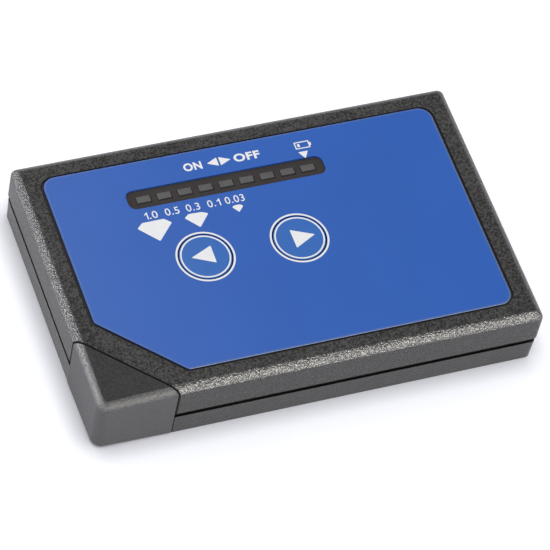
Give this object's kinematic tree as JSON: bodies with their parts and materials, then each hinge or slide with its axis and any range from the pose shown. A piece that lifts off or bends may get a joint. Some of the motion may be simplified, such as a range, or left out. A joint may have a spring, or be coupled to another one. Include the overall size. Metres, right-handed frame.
{
  "type": "moissanite tester",
  "caption": "Card-shaped gem tester: a flat split case with a pull-off corner cap over a sprung probe, press keys, a row of indicator lights and a sliding battery door.",
  "frame": {"origin": "middle of the case's back, on the surface the tester lies on", "axes": "+X along the length, to the right as the face is read; +Y towards the row of lights; +Z out of the face. The probe's corner is at -X, -Y."},
  "size_m": [0.1, 0.0636, 0.016],
  "materials": {
    "case_abs": "fine-textured charcoal",
    "label_film": "satin printed film",
    "key_plastic": "moulded",
    "smoked_plastic": "smoked",
    "board": "solder mask",
    "led": "clear resin",
    "black_plastic": "moulded",
    "brass": "turned",
    "copper": "polished copper",
    "steel": "bright nickel plate",
    "cell_can": "plain sleeve",
    "lead_insulation": "soft insulation"
  },
  "bodies": {
    "case": {"front_shell": "case_abs", "back_shell": "case_abs", "front_label": "label_film", "light_pipe": "smoked_plastic", "circuit_board": "board", "indicator_leds": "led", "on_switch": "black_plastic", "off_switch": "black_plastic", "control_chip": "black_plastic", "chip_resistors": "black_plastic", "buzzer": "black_plastic", "probe_nose": "black_plastic", "probe_sleeve": "brass", "probe_spring": "steel", "probe_plug": "black_plastic", "probe_leads": "lead_insulation", "battery_cells": "cell_can", "battery_link": "steel", "positive_contact": "steel", "negative_contact": "steel", "battery_springs": "steel", "battery_leads": "lead_insulation", "case_screws": "steel", "board_screws": "steel"},
    "cap": {"probe_cap": "case_abs"},
    "on_key": {"on_key": "key_plastic", "on_key_face": "label_film", "on_switch_stem": "black_plastic"},
    "off_key": {"off_key": "key_plastic", "off_key_face": "label_film", "off_switch_stem": "black_plastic"},
    "probe": {"probe_tip": "copper"},
    "door": {"battery_door": "case_abs"}
  },
  "joints": [
    {"name": "cap_pull", "type": "slide", "parent": "case", "child": "cap", "axis": [-0.7071, -0.7071, 0], "range_m": [0, 0.025]},
    {"name": "on_key_press", "type": "slide", "parent": "case", "child": "on_key", "axis": [0, 0, -1], "range_m": [0, 0.0003], "stiffness_N_per_m": 4000},
    {"name": "off_key_press", "type": "slide", "parent": "case", "child": "off_key", "axis": [0, 0, -1], "range_m": [0, 0.0003], "stiffness_N_per_m": 4000},
    {"name": "probe_press", "type": "slide", "parent": "case", "child": "probe", "axis": [0.7071, 0.7071, 0], "range_m": [0, 0.0015], "stiffness_N_per_m": 400, "deforming": ["probe_spring"]},
    {"name": "door_slide", "type": "slide", "parent": "case", "child": "door", "axis": [1, 0, 0], "range_m": [0, 0.03]}
  ]
}
